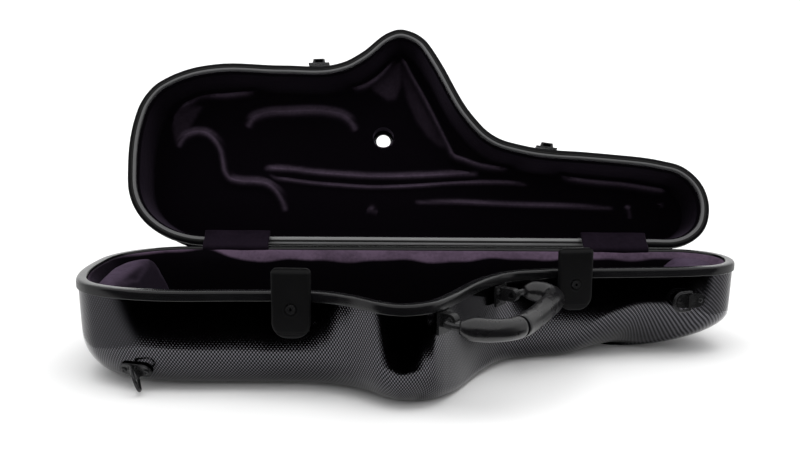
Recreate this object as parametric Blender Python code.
"""Contoured alto saxophone case, standing open on its base.

Metres, +Z up, +X along the case, front at -Y, hinges at +Y. The origin is on the flat resting face,
midway along the case's length and its width. The lid is modelled shut and is carried open by its axis.
"""

import math

import bmesh
import bpy
import numpy as np
from mathutils import Matrix, Vector

MM = 0.001

# Overall sizes
CASE_LENGTH = 660 * MM
CASE_WIDTH = 258 * MM
BASE_DEPTH = 95 * MM
LID_DEPTH = 80 * MM
LID_OPEN = math.radians(110)
GAP = 0.3 * MM
CUT_OVERRUN = 2 * MM

# Outline seen from above, as shares of length from the left end and of width from the hinge edge
OUTLINE_SHARES = [
    (0.190, 0.000), (0.150, 0.000), (0.115, 0.003), (0.071, 0.035), (0.031, 0.107), (0.009, 0.194),
    (0.000, 0.330), (0.003, 0.465), (0.013, 0.628), (0.037, 0.721), (0.074, 0.779), (0.125, 0.820),
    (0.192, 0.826), (0.310, 0.824), (0.362, 0.836), (0.395, 0.880), (0.428, 0.956), (0.4675, 1.000),
    (0.5025, 0.969), (0.538, 0.851), (0.573, 0.694), (0.599, 0.581), (0.631, 0.502), (0.677, 0.461),
    (0.807, 0.4255), (0.9105, 0.398), (0.962, 0.3585), (0.9905, 0.281), (1.000, 0.178), (0.989, 0.0795),
    (0.9545, 0.0116), (0.915, 0.000), (0.870, 0.000),
]
SPAN_STEPS = 16
FINE_POINTS = 800
BLUR_SHARE = 0.017
TURN_STEP = math.radians(12)
LONG_STEP_SHARE = 0.12
HALF_SHARE = 0.5
SIZE_STEP_SHARE = 0.2

# Rims, which grip the shells' edges
RIM_WIDTH = 10 * MM
RIM_HEIGHT = 9 * MM
RIM_LEG = 1.4 * MM
RIM_TOP = 2.6 * MM
RIM_INNER_HEIGHT = 6 * MM
RIM_CHAMFER = 1 * MM
RIM_GAP = 0.4 * MM
SEAL_WIDTH = 2.6 * MM
SEAL_DEPTH = 1.2 * MM

# Shells
WALL = 2.4 * MM
DRAFT = 1.5 * MM
FRONT_RADIUS = 40 * MM
BACK_RADIUS = 12 * MM
CORNER_STEPS = 5
CORNER_START = 28 * MM
# Size of the front's bottom corner along the length, as pairs of length share and radius share
CORNER_SIZE_SHARES = [
    (0.00, 1.15), (0.15, 1.08), (0.30, 1.0), (0.43, 1.0), (0.475, 1.0), (0.505, 0.9), (0.525, 0.5),
    (0.545, 0.24), (0.59, 0.28), (0.64, 0.55), (0.70, 0.62), (0.74, 0.78), (0.79, 1.35), (0.84, 1.7),
    (0.90, 1.6), (0.95, 1.25), (1.00, 1.05),
]
NOSE_START_SHARE = 0.70
NOSE_SWEEP = 135 * MM
NOSE_BEND_SHARE = 1.5
SHELL_INSET = RIM_LEG + GAP
SLOT_END = RIM_LEG + WALL + 2 * GAP
SHELL_TOP = RIM_TOP + GAP

# Linings
LIP_TOP = 2 * MM
LIP_CROWN = 4 * MM
LINING_GAP = 0.5 * MM
LINING_LIFT = 3 * MM
LEDGE_WIDTH = 16 * MM
LEDGE_DEPTH = 12 * MM
CAVITY_SLOPE = 12 * MM
FLOOR_EASE_SHARE = 0.8
BASE_PADDING = 20 * MM
LID_PADDING = 12 * MM
BASE_CAVITY_DEPTH = BASE_DEPTH - BASE_PADDING
LID_CAVITY_DEPTH = LID_DEPTH - LID_PADDING
BELL_BLOCK_REACH = 76 * MM
NECK_BLOCK_REACH = 108 * MM
BLOCK_CROWN = 9 * MM
BELL_BLOCK_LEAN = math.radians(24)
NECK_BLOCK_LEAN = math.radians(37)
RIDGE_RADIUS = 11 * MM
RIDGE_SUNK_SHARE = 0.45
RIDGE_ROOT = 2 * MM

# Vent hole through the lid
VENT_RADIUS = 8 * MM
VENT_CLEAR = 3 * MM
VENT_SHARES = (0.438, 0.555)

# Hinges
HINGE_SHARES = (0.195, 0.829)
HINGE_WIDTH = 60 * MM
HINGE_BEHIND = 3.0 * MM
HINGE_BELOW = 2.2 * MM
KNUCKLE_RADIUS = 2.6 * MM
HINGE_PIN_RADIUS = 1.2 * MM
PIN_PLAY = 0.08 * MM
LEAF_THICKNESS = 1.5 * MM
LEAF_HEIGHT = 22 * MM
KNUCKLE_SHARE = 1 / 3
COVER_WIDTH = 72 * MM
COVER_THICKNESS = 1.6 * MM
COVER_REACH = 15 * MM
COVER_CLEAR = 1.2 * MM

# Latches
LATCH_SHARES = (0.3238, 0.7238)
LATCH_WIDTH = 34 * MM
LATCH_ABOVE = 21 * MM
LATCH_BELOW = 38 * MM
LATCH_FACE = 13.5 * MM
LATCH_WALL = 3 * MM
LATCH_ROUND = 12 * MM
LATCH_TOP_CLEAR = 7.6 * MM
SKIRT_BACK = 5.6 * MM
SKIRT_WALL = 2.4 * MM
SKIRT_BELOW = 18 * MM
LATCH_PIVOT_OUT = 7 * MM
LATCH_PIVOT_BELOW = 32 * MM
LATCH_PIN_RADIUS = 1.5 * MM
LEVER_EAR_OUTER = 13 * MM
EAR_WALL = 2.4 * MM
EAR_RADIUS = 4.8 * MM
LATCH_BASE_WIDTH = 28 * MM
LATCH_BASE_THICKNESS = 3.2 * MM
LATCH_BASE_BELOW = 35 * MM
LOCK_BELOW = 12 * MM
LOCK_RADIUS = 4.5 * MM
LOCK_HEAD = 1 * MM
SHAFT_RADIUS = 3.2 * MM
TONGUE_LENGTH = 16 * MM
TONGUE_WIDTH = 4 * MM
TONGUE_THICKNESS = 1.8 * MM
TONGUE_OUT = 3.4 * MM
KEYHOLE_RADIUS = 1.3 * MM
KEYHOLE_DEPTH = 4 * MM
SPRING_WIDTH = 8 * MM
SPRING_THICKNESS = 0.6 * MM
SPRING_LENGTH = 11 * MM
SPRING_LIFT = 2.0 * MM

# Keepers on the lid rim
KEEPER_WIDTH = 24 * MM
KEEPER_HEIGHT = 12 * MM
KEEPER_PLATE = 1.6 * MM
KEEPER_START = 1 * MM
HOOD_WIDTH = 15 * MM
HOOD_OUT = 6.6 * MM
HOOD_WALL = 1.1 * MM
HOOD_CAVITY_WIDTH = 9 * MM
HOOD_CAVITY_HEIGHT = 9 * MM

# Rivets and screws
RIVET_RADIUS = 1.5 * MM
RIVET_HEAD = 2.7 * MM
RIVET_HEAD_HEIGHT = 0.9 * MM
RIVET_SIDES = 8

# Handle: mounts on the slanted wall, places along and out from the line between them
HANDLE_LEFT_SHARES = (0.5125, 0.938)
HANDLE_RIGHT_SHARES = (0.633, 0.503)
HANDLE_BELOW = 17 * MM
HANDLE_AXIS_OUT = 9 * MM
HANDLE_DROOP = math.radians(7)
HANDLE_REACH = 44 * MM
CORE_RADIUS = 3 * MM
GRIP_RADIUS = 9.5 * MM
GRIP_END_SHARE = 0.66
SEAM_WIDTH = 1.2 * MM
HANDLE_ROUTE_SHARES = [
    (0.00, 0.00), (-0.036, 0.06), (-0.036, 0.20), (-0.004, 0.39), (0.04, 0.58), (0.085, 0.745),
    (0.15, 0.90), (0.222, 1.00), (0.32, 1.06), (0.468, 1.03), (0.635, 0.97), (0.815, 0.88),
    (0.965, 0.795), (1.05, 0.70), (1.10, 0.54), (1.105, 0.36), (1.075, 0.20), (1.02, 0.08),
    (0.95, 0.01), (0.92, 0.00),
]
GRIP_SHARES = (0.10, 0.345, 0.94)
ROUTE_POINTS = 40
MOUNT_WIDTH = 20 * MM
MOUNT_SCREW_APART = 10 * MM
MOUNT_HEIGHT = 24 * MM
MOUNT_PLATE = 2.4 * MM
BOSS_RADIUS = 6 * MM
BOSS_LENGTH = 8 * MM
CORE_PLAY = 0.1 * MM

# Strap fittings
STRAP_LEFT_SHARE = 0.105
STRAP_RIGHT_SHARE = 0.909
STRAP_LEFT_HEIGHT = 20 * MM
STRAP_RIGHT_HEIGHT = 61 * MM
STRAP_PLATE_LENGTH = 32 * MM
STRAP_PLATE_HEIGHT = 15 * MM
STRAP_PLATE = 1.6 * MM
STRAP_CLEAR = 0.3 * MM
STRAP_SCREW_APART = 22 * MM
LOOP_WIDTH = 6.6 * MM
LOOP_HEIGHT = 13 * MM
LOOP_OUT = 6.4 * MM
LOOP_WALL = 1.4 * MM
RING_WIRE = 1.5 * MM
RING_HEIGHT = 22 * MM
RING_REACH = 20 * MM
RING_STEPS = 14
STRAP_LEFT_FOLD = math.radians(35)
STRAP_RIGHT_FOLD = math.radians(-78)

RIM_Z = BASE_DEPTH
LID_PLANE = RIM_Z + RIM_GAP
HINGE_EDGE = CASE_WIDTH / 2
HINGE_AXIS = Vector((0, HINGE_EDGE + HINGE_BEHIND, RIM_Z - HINGE_BELOW))

# Colour, roughness and metallic value of each finish
FINISHES = {
    "carbon_laminate": ((0.05, 0.05, 0.055), 0.2, 0.0),
    "black_satin_rim": ((0.012, 0.012, 0.013), 0.35, 0.6),
    "velvet": ((0.035, 0.022, 0.045), 0.95, 0.0),
    "velvet_base": ((0.05, 0.03, 0.065), 0.95, 0.0),
    "rubber_seal": ((0.015, 0.015, 0.015), 0.8, 0.0),
    "black_plastic": ((0.012, 0.012, 0.013), 0.45, 0.0),
    "black_metal": ((0.02, 0.02, 0.021), 0.35, 0.8),
    "spring_steel": ((0.35, 0.35, 0.36), 0.35, 1.0),
    "soft_grip": ((0.02, 0.02, 0.021), 0.5, 0.0),
}


def clear_scene():
    for obj in list(bpy.data.objects):
        bpy.data.objects.remove(obj, do_unlink=True)


def new_collection(name):
    group = bpy.data.collections.new(name)
    bpy.context.scene.collection.children.link(group)
    return group


def finish(name):
    found = bpy.data.materials.get(name)
    if found:
        return found
    colour, roughness, metallic = FINISHES[name]
    made = bpy.data.materials.new(name)
    made.use_nodes = True
    shader = made.node_tree.nodes["Principled BSDF"]
    shader.inputs["Base Color"].default_value = (*colour, 1)
    shader.inputs["Roughness"].default_value = roughness
    shader.inputs["Metallic"].default_value = metallic
    return made


def add_mesh(name, bm, look, smooth=True):
    bmesh.ops.recalc_face_normals(bm, faces=bm.faces[:])
    mesh = bpy.data.meshes.new(name)
    bm.to_mesh(mesh)
    bm.free()
    if smooth:
        mesh.shade_smooth()
        mesh.set_sharp_from_angle(angle=math.radians(35))
    obj = bpy.data.objects.new(name, mesh)
    if look:
        mesh.materials.append(finish(look))
        PARTS.objects.link(obj)
    else:
        obj.hide_render = True
        obj.display_type = "WIRE"
        CUTTERS.objects.link(obj)
    return obj


def carry(obj, pivot):
    """Hang an object that is placed in the pivot's parent frame on the pivot itself."""
    obj.location = Vector(obj.location) - Vector(pivot.location)
    obj.parent = pivot
    return obj


def place(obj, frame):
    """Hang an object that is modelled in a frame's own axes on that frame."""
    obj.parent = frame
    return obj


def new_frame(name, location, turn=(0, 0, 0), parent=None):
    empty = bpy.data.objects.new(name, None)
    empty.location = location
    empty.rotation_euler = turn
    empty.parent = parent
    PARTS.objects.link(empty)
    return empty


def boolean(obj, other, operation):
    step = obj.modifiers.new(operation.lower(), "BOOLEAN")
    step.operation = operation
    step.object = other
    step.solver = "EXACT"


def bake(obj):
    """Replace an object's mesh by what its modifiers make of it."""
    bpy.context.view_layer.update()
    seen = obj.evaluated_get(bpy.context.evaluated_depsgraph_get())
    mesh = bpy.data.meshes.new_from_object(seen)
    obj.modifiers.clear()
    obj.data = mesh


def add_box(bm, low, high):
    """Add a box between two corners."""
    size = Vector(high) - Vector(low)
    centre = (Vector(high) + Vector(low)) / 2
    matrix = Matrix.Translation(centre) @ Matrix.Diagonal((*size, 1))
    bmesh.ops.create_cube(bm, size=1, matrix=matrix)


def add_rod(bm, start, end, radius, sides=16, end_radius=None):
    """Add a round bar, or a cone, between two points."""
    start, end = Vector(start), Vector(end)
    along = end - start
    turn = along.to_track_quat("Z", "Y").to_matrix().to_4x4()
    matrix = Matrix.Translation((start + end) / 2) @ turn
    bmesh.ops.create_cone(
        bm,
        cap_ends=True,
        segments=sides,
        radius1=radius,
        radius2=radius if end_radius is None else end_radius,
        depth=along.length,
        matrix=matrix,
    )


def add_prism(bm, points, start, end, axis):
    """Extrude a flat outline; its points are the two coordinates that are left beside the axis."""
    order = {"X": (2, 0, 1), "Y": (0, 2, 1), "Z": (0, 1, 2)}[axis]
    loops = []
    for level in (start, end):
        corners = [(*point, level) for point in points]
        loops.append([bm.verts.new([corner[i] for i in order]) for corner in corners])
    bm.faces.new(loops[0])
    bm.faces.new(loops[1][::-1])
    for i, low in enumerate(loops[0]):
        j = (i + 1) % len(points)
        bm.faces.new((loops[0][j], low, loops[1][i], loops[1][j]))


def arc(centre, radius, start, end, steps):
    """Points on an arc, angles in degrees."""
    angles = [math.radians(start + (end - start) * k / steps) for k in range(steps + 1)]
    return [(centre[0] + radius * math.cos(a), centre[1] + radius * math.sin(a)) for a in angles]


def smooth_curve(points, steps, closed):
    """Points on a smooth curve through the given ones, evenly stepped between each two."""
    points = np.array(points, dtype=float)
    after = np.roll(points, -1, axis=0)
    chords = np.linalg.norm(after - points, axis=1)[:, None]
    slopes = (after - points) / chords
    before = np.roll(chords, 1, axis=0)
    tangents = (np.roll(slopes, 1, axis=0) * chords + slopes * before) / (chords + before)
    if not closed:
        tangents[0], tangents[-1] = slopes[0], slopes[-2]
    spans = len(points) if closed else len(points) - 1
    curve = []
    for i in range(spans):
        j = (i + 1) % len(points)
        for t in np.arange(steps) / steps:
            curve.append(
                (2 * t**3 - 3 * t**2 + 1) * points[i]
                + (t**3 - 2 * t**2 + t) * chords[i] * tangents[i]
                + (3 * t**2 - 2 * t**3) * points[j]
                + (t**3 - t**2) * chords[i] * tangents[j]
            )
    if not closed:
        curve.append(points[-1])
    return np.array(curve)


def even_points(curve, count, closed):
    """Re-space a curve evenly along its length."""
    path = np.vstack([curve, curve[:1]]) if closed else curve
    steps = np.linalg.norm(np.diff(path, axis=0), axis=1)
    run = np.concatenate([[0], np.cumsum(steps)])
    marks = np.linspace(0, run[-1], count, endpoint=not closed)
    return np.stack([np.interp(marks, run, path[:, k]) for k in range(path.shape[1])], axis=1)


def plan_point(share):
    """A place in the plan from its share of length and its share of width."""
    return np.array((share[0] * CASE_LENGTH - CASE_LENGTH / 2, HINGE_EDGE - share[1] * CASE_WIDTH))


def outward_of(edge):
    """Outward directions along a closed line that runs counter-clockwise."""
    heading = np.roll(edge, -1, axis=0) - np.roll(edge, 1, axis=0)
    heading /= np.linalg.norm(heading, axis=1)[:, None]
    return np.stack([heading[:, 1], -heading[:, 0]], axis=1)


def corner_size(point):
    """Share that sizes the front's bottom corner at a place along the length."""
    return np.interp(point[..., 0] / CASE_LENGTH + HALF_SHARE, *zip(*CORNER_SIZE_SHARES))


def trace_outline():
    """The case's edge, with its outward directions eased round tight bends."""
    knots = [plan_point(share) for share in OUTLINE_SHARES]
    edge = even_points(smooth_curve(knots, SPAN_STEPS, True), FINE_POINTS, True)
    outward = outward_of(edge)
    reach = int(BLUR_SHARE * FINE_POINTS)
    eased = outward
    for _ in range(2):
        eased = sum(np.roll(eased, k, axis=0) for k in range(-reach, reach + 1))
    eased /= np.linalg.norm(eased, axis=1)[:, None]
    kept = [0]
    for k in range(1, FINE_POINTS):
        turned = math.acos(np.clip(np.dot(outward[k], outward[kept[-1]]), -1, 1))
        moved = np.linalg.norm(edge[k] - edge[kept[-1]])
        resized = abs(corner_size(edge[k]) - corner_size(edge[kept[-1]])) * (outward[k][1] < 0)
        if turned > TURN_STEP or moved > LONG_STEP_SHARE * CASE_LENGTH or resized > SIZE_STEP_SHARE:
            kept.append(k)
    return edge[kept], eased[kept]


EDGE, OUTWARD = trace_outline()
FINE_EDGE = even_points(EDGE, FINE_POINTS, True)
FINE_OUTWARD = outward_of(FINE_EDGE)
BACKNESS = np.clip(OUTWARD[:, 1], 0, 1) ** 2
FRONT_RADII = FRONT_RADIUS * corner_size(EDGE)
CORNER_RADII = FRONT_RADII + (BACK_RADIUS - FRONT_RADII) * BACKNESS
FLOOR_INSET = LEDGE_WIDTH + CAVITY_SLOPE + FLOOR_EASE_SHARE * np.maximum(CORNER_RADII - FRONT_RADIUS, 0)

BASE = {"plane": RIM_Z, "way": -1, "depth": BASE_DEPTH}
LID = {"plane": LID_PLANE, "way": 1, "depth": LID_DEPTH}


def ring(inset, sunk, half, swept=0, offset=0):
    """One closed loop, inset from the edge, swept back at the nose, then offset, at a depth below the rim."""
    count = len(EDGE)
    flat = EDGE - OUTWARD * np.broadcast_to(inset, count)[:, None]
    nose = (flat[:, 0] / CASE_LENGTH + HALF_SHARE - NOSE_START_SHARE) / (1 - NOSE_START_SHARE)
    flat[:, 0] -= swept * NOSE_SWEEP * np.clip(nose, 0, 1) ** NOSE_BEND_SHARE
    flat -= OUTWARD * offset
    height = half["plane"] + half["way"] * np.broadcast_to(sunk, count)
    return [(*flat[k], height[k]) for k in range(count)]


def shell_rings(offset, top, half, lift=0):
    """Loops down a shell's side and round its bottom corner, offset inwards and lifted off its bottom."""
    rings = [ring(SHELL_INSET + offset, top, half)]
    rise = np.minimum(CORNER_RADII, half["depth"] - CORNER_START)
    for k in range(CORNER_STEPS + 1):
        angle = math.pi / 2 * k / CORNER_STEPS
        inset = SHELL_INSET + DRAFT + CORNER_RADII * (1 - math.cos(angle))
        sunk = half["depth"] - rise * (1 - math.sin(angle)) - (offset + lift) * math.sin(angle)
        rings.append(ring(inset, sunk, half, 1 - math.cos(angle), offset * math.cos(angle)))
    return rings


def loft(name, rings, look, closed=False):
    """Join loops into one solid, capped at both ends unless the loops close on themselves."""
    bm = bmesh.new()
    loops = [[bm.verts.new(point) for point in loop] for loop in rings]
    pairs = list(zip(loops, loops[1:]))
    if closed:
        pairs.append((loops[-1], loops[0]))
    for one, other in pairs:
        for i in range(len(one)):
            j = (i + 1) % len(one)
            if (one[i].co - other[j].co).length < (one[j].co - other[i].co).length:
                bm.faces.new((one[i], one[j], other[j]))
                bm.faces.new((one[i], other[j], other[i]))
            else:
                bm.faces.new((one[i], one[j], other[i]))
                bm.faces.new((one[j], other[j], other[i]))
    if not closed:
        bm.faces.new(loops[0])
        bm.faces.new(loops[-1][::-1])
    return add_mesh(name, bm, look)


def make_shell(name, half):
    inner = shell_rings(WALL, SHELL_TOP, half)
    outer = shell_rings(0, SHELL_TOP, half)
    return loft(name, inner[::-1] + outer, "carbon_laminate")


def rim_section(groove):
    """Section of a rim as inset and depth, with the seal's groove on the lid."""
    top = [(0, RIM_CHAMFER), (RIM_CHAMFER, 0)]
    if groove:
        start = (RIM_WIDTH - SEAL_WIDTH) / 2
        end = (RIM_WIDTH + SEAL_WIDTH) / 2
        top += [(start, 0), (start, SEAL_DEPTH + GAP), (end, SEAL_DEPTH + GAP), (end, 0)]
    inner = [(RIM_WIDTH - RIM_CHAMFER, 0), (RIM_WIDTH, RIM_CHAMFER), (RIM_WIDTH, RIM_INNER_HEIGHT)]
    slot = [(SLOT_END, RIM_INNER_HEIGHT), (SLOT_END, RIM_TOP), (RIM_LEG, RIM_TOP)]
    leg = [(RIM_LEG, RIM_HEIGHT), (0, RIM_HEIGHT)]
    return top + inner + slot + leg


def make_rim(name, half, groove):
    rings = [ring(inset, sunk, half) for inset, sunk in rim_section(groove)]
    return loft(name, rings, "black_satin_rim", closed=True)


def make_seal():
    start = (RIM_WIDTH - SEAL_WIDTH) / 2 + GAP
    end = (RIM_WIDTH + SEAL_WIDTH) / 2 - GAP
    section = [(start, 0), (end, 0), (end, SEAL_DEPTH), (start, SEAL_DEPTH)]
    rings = [ring(inset, sunk, LID) for inset, sunk in section]
    return loft("rim_seal", rings, "rubber_seal", closed=True)


def lining_top(half):
    """Loops across the padded lip beside the rim, from the cavity's edge out to the shell."""
    tuck = RIM_INNER_HEIGHT + GAP
    lip = RIM_WIDTH + GAP
    section = [
        (LEDGE_WIDTH, LEDGE_DEPTH),
        (LEDGE_WIDTH - LIP_CROWN / 2, LIP_TOP + LIP_CROWN / 2),
        (LEDGE_WIDTH - LIP_CROWN, LIP_TOP),
        (lip, LIP_TOP + LIP_CROWN / 4),
        (lip, tuck),
    ]
    return [ring(inset, sunk, half) for inset, sunk in section]


def make_lining(name, half, cavity_depth, look):
    floor = ring(FLOOR_INSET, cavity_depth, half, FLOOR_EASE_SHARE)
    outer = shell_rings(WALL + LINING_GAP, RIM_INNER_HEIGHT + GAP, half, LINING_LIFT)
    return loft(name, [floor] + lining_top(half) + outer, look)


def slice_off(bm, point, normal):
    """Cut away what lies beyond a plane and close the cut."""
    geometry = bm.verts[:] + bm.edges[:] + bm.faces[:]
    bmesh.ops.bisect_plane(bm, geom=geometry, plane_co=point, plane_no=normal, clear_outer=True)
    bmesh.ops.holes_fill(bm, edges=bm.edges[:], sides=0)


def make_block(name, reach, lean, end):
    """A padded block that fills one end of the base's cavity and slopes down into it."""
    plug = [
        ring(FLOOR_INSET + GAP, BASE_CAVITY_DEPTH - GAP, BASE, FLOOR_EASE_SHARE),
        ring(LEDGE_WIDTH + GAP, LEDGE_DEPTH, BASE),
        ring(LEDGE_WIDTH + GAP + BLOCK_CROWN, LIP_TOP + LIP_CROWN / 2, BASE),
    ]
    obj = loft(name, plug, "velvet_base")
    bm = bmesh.new()
    bm.from_mesh(obj.data)
    foot = Vector((end * (CASE_LENGTH / 2 - reach), 0, RIM_Z - BASE_CAVITY_DEPTH))
    slice_off(bm, foot, Vector((-end * math.cos(lean), 0, math.sin(lean))))
    bmesh.ops.recalc_face_normals(bm, faces=bm.faces[:])
    bm.to_mesh(obj.data)
    bm.free()
    return obj


# Raised ridges of the lid's lining, as shares of length and width
RIDGE_ROUTES_SHARES = [
    [(0.065, 0.50), (0.105, 0.585), (0.145, 0.49), (0.155, 0.39), (0.215, 0.345), (0.26, 0.235)],
    [(0.225, 0.42), (0.32, 0.385), (0.42, 0.362), (0.52, 0.362), (0.60, 0.385)],
    [(0.50, 0.262), (0.61, 0.245), (0.72, 0.243), (0.83, 0.245)],
]


def tube_object(name, points, radius, look, resolution=2, radii=None, cyclic=False):
    """A round tube along a route, as a closed mesh."""
    curve = bpy.data.curves.new(name, "CURVE")
    curve.dimensions = "3D"
    curve.bevel_depth = radius
    curve.bevel_resolution = resolution
    curve.use_fill_caps = True
    spline = curve.splines.new("POLY")
    spline.points.add(len(points) - 1)
    spline.use_cyclic_u = cyclic
    for k, point in enumerate(points):
        spline.points[k].co = (*point, 1)
        spline.points[k].radius = 1 if radii is None else radii[k]
    guide = bpy.data.objects.new(name + "_guide", curve)
    CUTTERS.objects.link(guide)
    bpy.context.view_layer.update()
    seen = guide.evaluated_get(bpy.context.evaluated_depsgraph_get())
    bm = bmesh.new()
    bm.from_mesh(bpy.data.meshes.new_from_object(seen))
    bmesh.ops.remove_doubles(bm, verts=bm.verts[:], dist=GAP / 10)
    bpy.data.objects.remove(guide, do_unlink=True)
    return add_mesh(name, bm, look)


def add_ridges(lining):
    """Join the raised ridges to the floor of the lid's lining."""
    height = LID_PLANE + LID_CAVITY_DEPTH + RIDGE_SUNK_SHARE * RIDGE_RADIUS
    for index, shares in enumerate(RIDGE_ROUTES_SHARES):
        knots = smooth_curve([plan_point(share) for share in shares], SPAN_STEPS, False)
        route = [(*point, height) for point in even_points(knots, 3 * len(shares), False)]
        ridge = tube_object(f"ridge_{index}", route, RIDGE_RADIUS, None, resolution=2)
        for vertex in ridge.data.vertices:
            vertex.co.z = min(vertex.co.z, LID_PLANE + LID_CAVITY_DEPTH + RIDGE_ROOT)
        boolean(lining, ridge, "UNION")
        bake(lining)


def make_lid(axis):
    shell = make_shell("lid_shell", LID)
    lining = make_lining("lid_lining", LID, LID_CAVITY_DEPTH, "velvet")
    add_ridges(lining)
    x, y = plan_point(VENT_SHARES)
    low, high = LID_PLANE, LID_PLANE + LID_DEPTH + CUT_OVERRUN
    for obj, radius in ((shell, VENT_RADIUS), (lining, VENT_RADIUS + VENT_CLEAR)):
        bm = bmesh.new()
        add_rod(bm, (x, y, low), (x, y, high), radius, sides=24)
        boolean(obj, add_mesh(obj.name + "_vent_cut", bm, None), "DIFFERENCE")
        bake(obj)
    for obj in (shell, lining, make_rim("lid_rim", LID, True), make_seal()):
        carry(obj, axis)


def leaf_section(way):
    """Section of a hinge leaf as y and z, joggled over the rim on to the shell; way is up or down."""
    near, far = HINGE_EDGE + GAP, HINGE_EDGE + GAP + LEAF_THICKNESS
    low_near = HINGE_EDGE - SHELL_INSET + GAP
    low_far = low_near + LEAF_THICKNESS
    plane = LID_PLANE if way > 0 else RIM_Z
    knuckle_edge = HINGE_AXIS.z + way * (KNUCKLE_RADIUS + GAP)
    step = plane + way * (RIM_HEIGHT + GAP)
    bend = step + way * LEAF_THICKNESS
    end = plane + way * LEAF_HEIGHT
    return [
        (near, knuckle_edge), (far, knuckle_edge), (far, bend), (low_far, bend + way * LEAF_THICKNESS),
        (low_far, end), (low_near, end), (low_near, step), (near, step),
    ]


def knuckle_spans(centre_x, way):
    """Where a leaf's knuckles lie along the pin: the middle third for the base, the rest for the lid."""
    half_width = HINGE_WIDTH / 2
    third = HINGE_WIDTH * KNUCKLE_SHARE / 2
    if way < 0:
        return [(centre_x - third, centre_x + third)]
    return [
        (centre_x - half_width + GAP, centre_x - third - GAP),
        (centre_x + third + GAP, centre_x + half_width - GAP),
    ]


def rivet_points(centre_x, way):
    """Rivet places on a hinge leaf."""
    plane = LID_PLANE if way > 0 else RIM_Z
    z = plane + way * (LEAF_HEIGHT + RIM_HEIGHT + 2 * LEAF_THICKNESS) / 2
    face = HINGE_EDGE - SHELL_INSET + GAP
    spread = HINGE_WIDTH * KNUCKLE_SHARE
    return [Vector((centre_x + side * spread, face, z)) for side in (-1, 1)]


def make_rivet(name, seat, look="black_metal"):
    """A rivet through a plate; its seat is the plate's back, a direction and the plate's thickness."""
    point, direction, thickness = seat
    top = point + direction * (thickness + GAP)
    bm = bmesh.new()
    add_rod(bm, point, top + direction * RIVET_HEAD_HEIGHT / 2, RIVET_RADIUS, RIVET_SIDES)
    rivet = add_mesh(name, bm, look)
    head = bmesh.new()
    add_rod(head, top, top + direction * RIVET_HEAD_HEIGHT, RIVET_HEAD, RIVET_SIDES,
            end_radius=RIVET_HEAD - RIVET_HEAD_HEIGHT)
    boolean(rivet, add_mesh(name + "_head", head, None), "UNION")
    bake(rivet)
    return rivet


def rivet_holes(name, seats):
    """Cutter for the holes that a group of rivets passes through."""
    bm = bmesh.new()
    for seat, direction, thickness in seats:
        start = seat - direction * CUT_OVERRUN
        add_rod(bm, start, seat + direction * (thickness + CUT_OVERRUN), RIVET_RADIUS + GAP, RIVET_SIDES)
    return add_mesh(name, bm, None)


def make_leaf(name, centre_x, way):
    bm = bmesh.new()
    start, end = centre_x - HINGE_WIDTH / 2, centre_x + HINGE_WIDTH / 2
    add_prism(bm, leaf_section(way), start, end, "X")
    leaf = add_mesh(name, bm, "black_metal")
    knuckles = bmesh.new()
    arms = bmesh.new()
    bore = bmesh.new()
    axis_y, axis_z = HINGE_AXIS.y, HINGE_AXIS.z
    for left, right in knuckle_spans(centre_x, way):
        add_rod(knuckles, (left, axis_y, axis_z), (right, axis_y, axis_z), KNUCKLE_RADIUS)
        arm_low = (left + GAP, HINGE_EDGE + GAP + PIN_PLAY, axis_z)
        arm_high = (right - GAP, HINGE_EDGE + GAP + LEAF_THICKNESS - PIN_PLAY,
                    axis_z + way * (KNUCKLE_RADIUS + 2 * LEAF_THICKNESS))
        add_box(arms, arm_low, arm_high)
    add_rod(bore, (start - CUT_OVERRUN, axis_y, axis_z), (end + CUT_OVERRUN, axis_y, axis_z),
            HINGE_PIN_RADIUS + PIN_PLAY)
    boolean(leaf, add_mesh(name + "_arms", arms, None), "UNION")
    bake(leaf)
    boolean(leaf, add_mesh(name + "_knuckles", knuckles, None), "UNION")
    bake(leaf)
    boolean(leaf, add_mesh(name + "_bore", bore, None), "DIFFERENCE")
    bake(leaf)
    return leaf


def make_cover(name, centre_x):
    """Fabric cover over the hinge, lying on the lid lining's lip."""
    top = LIP_TOP - GAP
    near = HINGE_EDGE - RIM_WIDTH - COVER_CLEAR
    bm = bmesh.new()
    low = (centre_x - COVER_WIDTH / 2, near - COVER_REACH, LID_PLANE + top - COVER_THICKNESS)
    high = (centre_x + COVER_WIDTH / 2, near, LID_PLANE + top)
    add_box(bm, low, high)
    return add_mesh(name, bm, "velvet")


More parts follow.
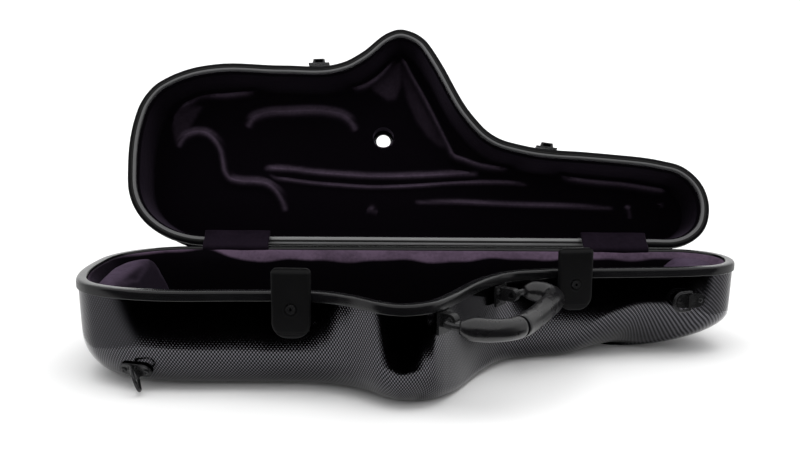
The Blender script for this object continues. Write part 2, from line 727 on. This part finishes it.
def make_hinges(axis):
    base_seats, lid_seats, lid_pieces, base_leaves, lid_leaves = [], [], [], [], []
    for side, share in zip(("left", "right"), HINGE_SHARES):
        x = share * CASE_LENGTH - CASE_LENGTH / 2
        base_leaves.append(make_leaf(f"hinge_{side}_base_leaf", x, -1))
        lid_leaves.append(make_leaf(f"hinge_{side}_lid_leaf", x, 1))
        pin = bmesh.new()
        add_rod(pin, (x - HINGE_WIDTH / 2, *HINGE_AXIS.yz), (x + HINGE_WIDTH / 2, *HINGE_AXIS.yz),
                HINGE_PIN_RADIUS)
        add_mesh(f"hinge_{side}_pin", pin, "spring_steel")
        outward = Vector((0, 1, 0))
        base_seats += [(point, outward, LEAF_THICKNESS) for point in rivet_points(x, -1)]
        lid_seats += [(point, outward, LEAF_THICKNESS) for point in rivet_points(x, 1)]
        lid_pieces.append(make_cover(f"hinge_{side}_cover", x))
    for leaves, seats, name in ((base_leaves, base_seats, "base"), (lid_leaves, lid_seats, "lid")):
        holes = rivet_holes(f"hinge_holes_{name}", seats)
        for leaf in leaves:
            boolean(leaf, holes, "DIFFERENCE")
            bake(leaf)
    for number, seat in enumerate(base_seats, 1):
        make_rivet(f"hinge_base_rivet_{number}", seat)
    for number, seat in enumerate(lid_seats, 1):
        lid_pieces.append(make_rivet(f"hinge_lid_rivet_{number}", seat))
    for piece in lid_pieces + lid_leaves:
        carry(piece, axis)


def edge_at(x):
    """The place on the case's front edge at an x."""
    choice = np.where(FINE_OUTWARD[:, 1] < 0, np.abs(FINE_EDGE[:, 0] - x), CASE_LENGTH)
    return FINE_EDGE[int(np.argmin(choice))]


def seat_at(x, half_width):
    """Seat of a flat fitting on the front edge: a place on its outermost line, and its turn about Z."""
    chord = edge_at(x + half_width) - edge_at(x - half_width)
    turn = math.atan2(chord[1], chord[0])
    along = np.array((math.cos(turn), math.sin(turn)))
    outward = np.array((along[1], -along[0]))
    centre = edge_at(x)
    rest = FINE_EDGE - centre
    near = (np.abs(rest @ along) <= half_width) & (np.abs(rest @ outward) < half_width)
    return centre + outward * float((rest[near] @ outward).max()), turn


def make_latch_base(name):
    """Plate on the shell below the rim, with two ears that hold the pin."""
    back = SHELL_INSET - GAP
    front = back - LATCH_BASE_THICKNESS
    top = -(RIM_HEIGHT + GAP)
    half_width = LATCH_BASE_WIDTH / 2
    bm = bmesh.new()
    add_box(bm, (-half_width, front, -LATCH_BASE_BELOW), (half_width, back, top))
    base = add_mesh(name, bm, "black_plastic")
    ears = bmesh.new()
    bores = bmesh.new()
    outer = LEVER_EAR_OUTER - EAR_WALL - GAP
    centre = (-LATCH_PIVOT_OUT, -LATCH_PIVOT_BELOW)
    round_front = LATCH_FACE - LATCH_WALL - LATCH_PIVOT_OUT - GAP
    section = arc(centre, round_front, 270, 90, 8)
    section += [(front + GAP, centre[1] + round_front), (front + GAP, centre[1] - round_front)]
    for side in (-1, 1):
        add_prism(ears, section, side * outer, side * (outer - EAR_WALL), "X")
    reach = LATCH_WIDTH / 2
    add_rod(bores, (-reach, *centre), (reach, *centre), LATCH_PIN_RADIUS + PIN_PLAY)
    boolean(base, add_mesh(name + "_ears", ears, None), "UNION")
    bake(base)
    boolean(base, add_mesh(name + "_bores", bores, None), "DIFFERENCE")
    bake(base)
    return base


def lever_outline():
    """Front outline of a latch lever: square shoulders, round foot."""
    half = LATCH_WIDTH / 2
    foot = -LATCH_BELOW + LATCH_ROUND
    left = arc((-half + LATCH_ROUND, foot), LATCH_ROUND, 180, 270, 5)
    right = arc((half - LATCH_ROUND, foot), LATCH_ROUND, 270, 360, 5)
    shoulder = LATCH_WALL / 2
    top = [
        (half, LATCH_ABOVE - shoulder), (half - shoulder, LATCH_ABOVE),
        (shoulder - half, LATCH_ABOVE), (-half, LATCH_ABOVE - shoulder),
    ]
    return left + right + top


def make_lever(name):
    """Cover-shaped lever with skirts, a top lip, ears for the pin and a bore for the lock."""
    inner = -LATCH_FACE + LATCH_WALL
    half = LATCH_WIDTH / 2
    bm = bmesh.new()
    add_prism(bm, lever_outline(), -LATCH_FACE, inner, "Y")
    lever = add_mesh(name, bm, "black_plastic")
    walls = bmesh.new()
    bores = bmesh.new()
    sunk = inner - LATCH_WALL / 2
    inset = GAP
    for side in (-1, 1):
        xs = sorted((side * (half - inset), side * (half - inset - SKIRT_WALL)))
        add_box(walls, (xs[0], sunk, -SKIRT_BELOW), (xs[1], -SKIRT_BACK, LATCH_ABOVE - 2 * LATCH_WALL))
        section = arc((-LATCH_PIVOT_OUT, -LATCH_PIVOT_BELOW), EAR_RADIUS, -90, 90, 8)
        section += [(sunk, -LATCH_PIVOT_BELOW + EAR_RADIUS), (sunk, -LATCH_PIVOT_BELOW - EAR_RADIUS)]
        add_prism(walls, section, side * LEVER_EAR_OUTER, side * (LEVER_EAR_OUTER - EAR_WALL), "X")
    add_box(
        walls,
        (-half + 2 * inset, sunk, LATCH_ABOVE - inset - SKIRT_WALL),
        (half - 2 * inset, -LATCH_TOP_CLEAR, LATCH_ABOVE - inset),
    )
    pivot = (-LATCH_PIVOT_OUT, -LATCH_PIVOT_BELOW)
    add_rod(bores, (-half, *pivot), (half, *pivot), LATCH_PIN_RADIUS + PIN_PLAY)
    add_rod(bores, (0, -LATCH_FACE - CUT_OVERRUN, -LOCK_BELOW), (0, inner + CUT_OVERRUN, -LOCK_BELOW),
            LOCK_RADIUS + PIN_PLAY)
    boolean(lever, add_mesh(name + "_walls", walls, None), "UNION")
    bake(lever)
    boolean(lever, add_mesh(name + "_bores", bores, None), "DIFFERENCE")
    bake(lever)
    return lever


def make_lock(name, way):
    """Lock barrel with a keyhole in front and a tongue behind that points left or right at rest."""
    face = -LATCH_FACE - LOCK_HEAD
    inner = -LATCH_FACE + LATCH_WALL
    bm = bmesh.new()
    add_rod(bm, (0, face, 0), (0, inner, 0), LOCK_RADIUS)
    lock = add_mesh(name, bm, "black_metal")
    shaft = bmesh.new()
    add_rod(shaft, (0, inner - LOCK_HEAD, 0), (0, -TONGUE_OUT, 0), SHAFT_RADIUS, sides=12)
    tongue = bmesh.new()
    left, right = sorted((0, way * TONGUE_LENGTH))
    low = (left, -TONGUE_OUT - TONGUE_THICKNESS, -TONGUE_WIDTH / 2)
    add_box(tongue, low, (right, -TONGUE_OUT - GAP, TONGUE_WIDTH / 2))
    keyhole = bmesh.new()
    add_rod(keyhole, (0, face - CUT_OVERRUN, 0), (0, face + KEYHOLE_DEPTH, 0), KEYHOLE_RADIUS, sides=8)
    for piece, label, operation in (
        (shaft, "shaft", "UNION"), (tongue, "tongue", "UNION"), (keyhole, "keyhole", "DIFFERENCE"),
    ):
        boolean(lock, add_mesh(f"{name}_{label}", piece, None), operation)
        bake(lock)
    return lock


def make_latch_spring(name):
    """Leaf spring on the latch base that bears towards the pin."""
    seat = SHELL_INSET - GAP - LATCH_BASE_THICKNESS - GAP
    top = -(LOCK_BELOW + SHAFT_RADIUS + 2 * SPRING_THICKNESS)
    bend = top - SPRING_LENGTH / 2
    end = top - SPRING_LENGTH
    section = [
        (seat, top), (seat - SPRING_THICKNESS, top), (seat - SPRING_THICKNESS, bend),
        (seat - SPRING_THICKNESS - SPRING_LIFT, end), (seat - SPRING_LIFT, end), (seat, bend),
    ]
    bm = bmesh.new()
    add_prism(bm, section, -SPRING_WIDTH / 2, SPRING_WIDTH / 2, "X")
    return add_mesh(name, bm, "spring_steel", smooth=False)


def make_keeper(name):
    """Plate with side ears and a hood that is open towards the latch's tongue."""
    bottom = RIM_GAP + KEEPER_START
    top = bottom + KEEPER_HEIGHT
    bm = bmesh.new()
    add_box(bm, (-KEEPER_WIDTH / 2, -GAP - KEEPER_PLATE, bottom), (KEEPER_WIDTH / 2, -GAP, top))
    keeper = add_mesh(name, bm, "black_metal")
    hood = bmesh.new()
    half, slim = HOOD_WIDTH / 2, HOOD_WIDTH / 2 - HOOD_WALL
    foot = -GAP - KEEPER_PLATE / 2
    section = [(-half, foot), (-slim, -HOOD_OUT), (slim, -HOOD_OUT), (half, foot)]
    add_prism(hood, section, bottom + GAP, top - GAP, "Z")
    cavity = bmesh.new()
    low = (-HOOD_CAVITY_WIDTH / 2, -HOOD_OUT + HOOD_WALL, bottom - CUT_OVERRUN)
    add_box(cavity, low, (HOOD_CAVITY_WIDTH / 2, -GAP - KEEPER_PLATE - GAP, bottom + HOOD_CAVITY_HEIGHT))
    boolean(keeper, add_mesh(name + "_hood", hood, None), "UNION")
    bake(keeper)
    boolean(keeper, add_mesh(name + "_cavity", cavity, None), "DIFFERENCE")
    bake(keeper)
    return keeper


def make_latches(axis):
    """Both latches, in frames whose -Y looks straight out of the case at the rim plane."""
    for side, way, share in zip(("left", "right"), (-1, 1), LATCH_SHARES):
        x = share * CASE_LENGTH - CASE_LENGTH / 2
        point, turn = seat_at(x, LATCH_BASE_WIDTH / 2)
        frame = new_frame(f"latch_{side}_frame", (*point, RIM_Z), (0, 0, turn))
        place(make_latch_base(f"latch_{side}_base"), frame)
        place(make_latch_spring(f"latch_{side}_spring"), frame)
        pin = bmesh.new()
        half = LEVER_EAR_OUTER
        centre = (-LATCH_PIVOT_OUT, -LATCH_PIVOT_BELOW)
        add_rod(pin, (-half, *centre), (half, *centre), LATCH_PIN_RADIUS)
        place(add_mesh(f"latch_{side}_pin", pin, "spring_steel"), frame)
        pivot = new_frame(f"latch_{side}_pivot", (0, -LATCH_PIVOT_OUT, -LATCH_PIVOT_BELOW), parent=frame)
        carry(make_lever(f"latch_{side}_lever"), pivot)
        lock = make_lock(f"latch_{side}_lock", way)
        lock.location = Vector((0, 0, -LOCK_BELOW)) - pivot.location
        lock.parent = pivot
        lid_frame = new_frame(f"keeper_{side}_frame", (*point, RIM_Z), (0, 0, turn))
        carry(lid_frame, axis)
        place(make_keeper(f"keeper_{side}"), lid_frame)


def handle_frame():
    """Frame of the handle: X runs along the line between its mounts, -Y looks out of the wall."""
    left, right = plan_point(HANDLE_LEFT_SHARES), plan_point(HANDLE_RIGHT_SHARES)
    along = right - left
    turn = math.atan2(along[1], along[0])
    span = float(np.linalg.norm(along))
    return new_frame("handle_frame", (*left, RIM_Z - HANDLE_BELOW), (0, 0, turn)), span


def make_handle_mount(name, seat):
    """Plate on the wall with a boss that holds one end of the handle's rod."""
    bm = bmesh.new()
    centre, back = seat.x, seat.y
    add_box(bm, (centre - MOUNT_WIDTH / 2, back - MOUNT_PLATE, -MOUNT_HEIGHT / 2),
            (centre + MOUNT_WIDTH / 2, back, MOUNT_HEIGHT / 2 - RIM_HEIGHT / 2))
    mount = add_mesh(name, bm, "black_metal")
    boss = bmesh.new()
    profile = arc((-HANDLE_AXIS_OUT, 0), BOSS_RADIUS, 270, 90, 10)
    profile += [(back - MOUNT_PLATE / 2, BOSS_RADIUS), (back - MOUNT_PLATE / 2, -BOSS_RADIUS)]
    start = centre - BOSS_LENGTH / 2
    add_prism(boss, profile, start, start + BOSS_LENGTH, "X")
    bore = bmesh.new()
    end = start + BOSS_LENGTH
    add_rod(bore, (start - CUT_OVERRUN, -HANDLE_AXIS_OUT, 0), (end + CUT_OVERRUN, -HANDLE_AXIS_OUT, 0),
            CORE_RADIUS + CORE_PLAY)
    boolean(mount, add_mesh(name + "_boss", boss, None), "UNION")
    bake(mount)
    boolean(mount, add_mesh(name + "_bore", bore, None), "DIFFERENCE")
    bake(mount)
    return mount


def wall_gap_at(frame, along):
    """How far the case's edge lies behind the handle line, at a place along it."""
    turn = frame.rotation_euler.z
    direction = np.array((math.cos(turn), math.sin(turn)))
    inward = np.array((-direction[1], direction[0]))
    rest = FINE_EDGE - np.array(frame.location.xy)
    near = np.abs(rest @ direction - along) + np.abs(rest @ inward)
    return float(rest[int(np.argmin(near))] @ inward)


def handle_route(span):
    """The rod's centre line in the handle's frame, drooped about the line through its ends."""
    knots = [(share[0] * span, share[1] * HANDLE_REACH) for share in HANDLE_ROUTE_SHARES]
    flat = even_points(smooth_curve(knots, SPAN_STEPS, False), ROUTE_POINTS, False)
    ends = [np.array((BOSS_LENGTH / 2 + knots[0][0], 0)), np.array((knots[-1][0] - BOSS_LENGTH / 2, 0))]
    flat = np.vstack([[ends[0]], flat, [ends[1]]])
    droop = (math.cos(HANDLE_DROOP), math.sin(HANDLE_DROOP))
    return [Vector((a, -out * droop[0], -out * droop[1])) for a, out in flat]


def make_grip(name, route, core_cutter, swell):
    grip = tube_object(name, route, GRIP_RADIUS, "soft_grip", resolution=3, radii=swell)
    boolean(grip, core_cutter, "DIFFERENCE")
    bake(grip)
    return grip


def make_handle():
    """Steel rod with two soft grips that meet at a seam, in two mounts on the slanted wall."""
    frame, span = handle_frame()
    pivot = new_frame("handle_pivot", (0, -HANDLE_AXIS_OUT, 0), parent=frame)
    route = handle_route(span)
    place(tube_object("handle_core", route, CORE_RADIUS, "black_metal"), pivot)
    clearance = tube_object("handle_core_clearance", route, CORE_RADIUS + GAP, None)
    start, seam, end = (round(share * len(route)) for share in GRIP_SHARES)
    ease = [GRIP_END_SHARE + (1 - GRIP_END_SHARE) * k / 3 for k in range(3)]
    left = [1.0] * (seam - start)
    left[:3] = ease
    right = [1.0] * (end - seam)
    right[-3:] = ease[::-1]
    heading = (route[seam] - route[seam - 1]).normalized()
    meeting = route[seam] - heading * SEAM_WIDTH
    for name, points, swell in (
        ("handle_grip_left", route[start:seam] + [meeting], left + [1.0]),
        ("handle_grip_right", route[seam:end], right),
    ):
        place(make_grip(name, points, clearance, swell), pivot)
    for side, centre, way in (
        ("left", HANDLE_ROUTE_SHARES[0][0] * span + BOSS_LENGTH, 1),
        ("right", HANDLE_ROUTE_SHARES[-1][0] * span - BOSS_LENGTH, -1),
    ):
        half = MOUNT_WIDTH / 2
        wall = min(wall_gap_at(frame, place_along) for place_along in (centre - half, centre, centre + half))
        seat = Vector((centre, wall + SHELL_INSET - GAP, 0))
        mount = make_handle_mount(f"handle_{side}_mount", seat)
        screws = []
        for number, height in enumerate((MOUNT_SCREW_APART / 2, -MOUNT_SCREW_APART / 2), 1):
            aside = way * (MOUNT_WIDTH / 2 - RIVET_HEAD - GAP)
            point = seat + Vector((aside, 0, height - RIM_HEIGHT / 4))
            screws.append((point, Vector((0, -1, 0)), MOUNT_PLATE))
            place(make_rivet(f"handle_{side}_screw_{number}", screws[-1]), frame)
        boolean(mount, rivet_holes(f"handle_{side}_holes", screws), "DIFFERENCE")
        bake(mount)
        place(mount, frame)


def make_strap_fitting(side, frame, fold):
    """Screwed plate with a loop, and the ring that swings in it."""
    half = STRAP_PLATE_HEIGHT / 2
    straight = STRAP_PLATE_LENGTH / 2 - half
    outline = arc((straight, 0), half, -90, 90, 8) + arc((-straight, 0), half, 90, 270, 8)
    bm = bmesh.new()
    add_prism(bm, outline, -GAP, -GAP - STRAP_PLATE, "Y")
    plate = add_mesh(f"strap_{side}_plate", bm, "black_metal")
    loop = bmesh.new()
    low = (-LOOP_WIDTH / 2, -GAP - LOOP_OUT, -LOOP_HEIGHT / 2)
    add_box(loop, low, (LOOP_WIDTH / 2, -GAP - STRAP_PLATE / 2, LOOP_HEIGHT / 2))
    boolean(plate, add_mesh(plate.name + "_loop", loop, None), "UNION")
    bake(plate)
    slot = bmesh.new()
    slot_half = LOOP_WIDTH / 2 - LOOP_WALL
    slot_near, slot_far = -GAP - STRAP_PLATE, -GAP - LOOP_OUT + LOOP_WALL
    add_box(slot, (-slot_half, slot_far, -LOOP_HEIGHT), (slot_half, slot_near, LOOP_HEIGHT))
    boolean(plate, add_mesh(plate.name + "_slot", slot, None), "DIFFERENCE")
    bake(plate)
    screws = []
    for number, x in enumerate((-STRAP_SCREW_APART / 2, STRAP_SCREW_APART / 2), 1):
        screws.append((Vector((x, -GAP, 0)), Vector((0, -1, 0)), STRAP_PLATE))
        place(make_rivet(f"strap_{side}_screw_{number}", screws[-1]), frame)
    boolean(plate, rivet_holes(f"strap_{side}_holes", screws), "DIFFERENCE")
    bake(plate)
    place(plate, frame)
    pivot = new_frame(f"strap_{side}_pivot", (0, (slot_near + slot_far) / 2, 0), (0, 0, fold), frame)
    place(make_ring(f"strap_{side}_ring"), pivot)


def make_ring(name):
    """D-shaped wire ring about its straight bar, standing out along -Y."""
    half = RING_HEIGHT / 2
    bend = half - RING_WIRE
    bow = [(-(RING_REACH - bend) - bend * math.cos(a), bend * math.sin(a))
           for a in (math.radians(-90 + 180 * k / RING_STEPS) for k in range(RING_STEPS + 1))]
    points = [(0, y, z) for y, z in [(0, -bend)] + bow + [(0, bend)]]
    return tube_object(name, points, RING_WIRE, "black_metal", cyclic=True)


def strap_frame(name, share, height):
    """A frame on the base shell's outer surface at a height above the floor, facing straight out of it."""
    x = share * CASE_LENGTH - CASE_LENGTH / 2
    point, turn = seat_at(x, STRAP_PLATE_LENGTH / 2)
    radius = FRONT_RADIUS * corner_size(point)
    if height < radius:
        lean = math.asin(1 - height / radius)
        inset = SHELL_INSET + DRAFT + radius * (1 - math.cos(lean))
    else:
        lean = math.atan(DRAFT / (BASE_DEPTH - SHELL_TOP - radius))
        inset = SHELL_INSET + DRAFT * (BASE_DEPTH - SHELL_TOP - height) / (BASE_DEPTH - SHELL_TOP - radius)
    outward = np.array((math.sin(turn), -math.cos(turn)))
    place_at = point - outward * (inset - STRAP_CLEAR)
    return new_frame(name, (*place_at, height), (lean, 0, turn))


def make_straps():
    """The two ring fittings; the left ring is turned aside, the right one lies folded flat to the left."""
    for side, share, height, fold in (
        ("left", STRAP_LEFT_SHARE, STRAP_LEFT_HEIGHT, STRAP_LEFT_FOLD),
        ("right", STRAP_RIGHT_SHARE, STRAP_RIGHT_HEIGHT, STRAP_RIGHT_FOLD),
    ):
        frame = strap_frame(f"strap_{side}_frame", share, height)
        make_strap_fitting(side, frame, fold)


clear_scene()
PARTS = new_collection("alto_saxophone_case")
CUTTERS = new_collection("cutters")
lid_axis = new_frame("lid_axis", HINGE_AXIS, (-LID_OPEN, 0, 0))
make_shell("base_shell", BASE)
make_rim("base_rim", BASE, False)
make_lining("base_lining", BASE, BASE_CAVITY_DEPTH, "velvet_base")
make_block("bell_block", BELL_BLOCK_REACH, BELL_BLOCK_LEAN, -1)
make_block("neck_block", NECK_BLOCK_REACH, NECK_BLOCK_LEAN, 1)
make_lid(lid_axis)
make_hinges(lid_axis)
make_latches(lid_axis)
make_handle()
make_straps()
